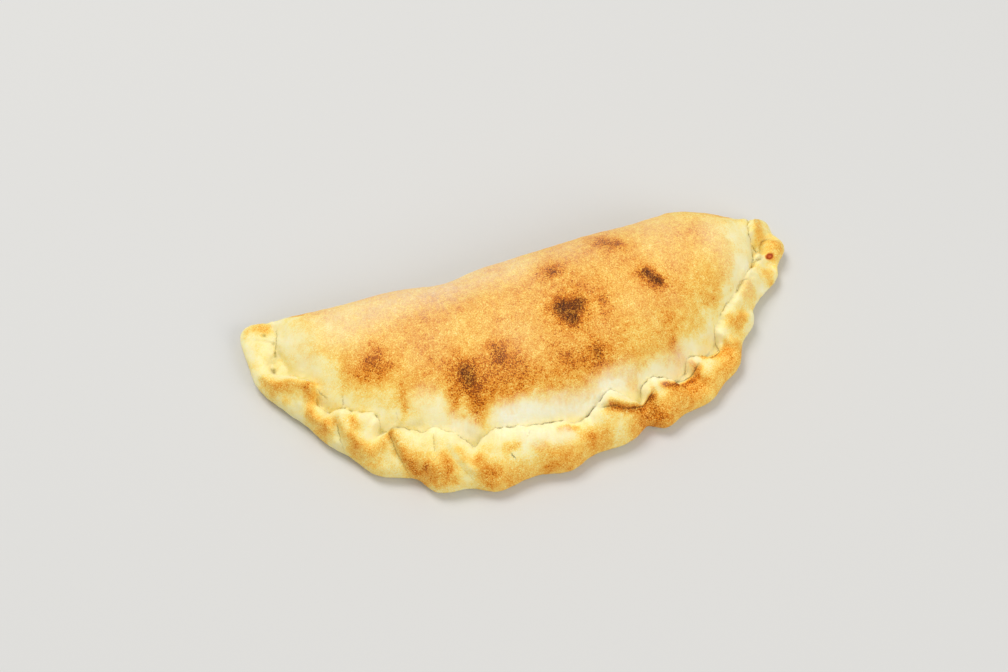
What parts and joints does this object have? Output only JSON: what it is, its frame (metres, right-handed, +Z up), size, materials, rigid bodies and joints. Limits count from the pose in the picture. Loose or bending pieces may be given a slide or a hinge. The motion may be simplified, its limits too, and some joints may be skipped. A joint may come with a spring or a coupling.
{
  "type": "calzone",
  "caption": "Baked calzone: a half-moon of golden, char-spotted dough folded over its filling, with a hand-crimped rope rim along the open edge.",
  "frame": {"origin": "middle of the base, on the surface the calzone lies on", "axes": "+X along the fold towards the tip with the knob of dough, +Y from the crimped rim towards the fold, +Z up"},
  "size_m": [0.2856, 0.1234, 0.0468],
  "materials": {
    "crust": "baked dough: dry, floury and golden, with browned ridges and dark char spots"
  },
  "bodies": {
    "root": {"calzone": "crust"}
  },
  "joints": []
}
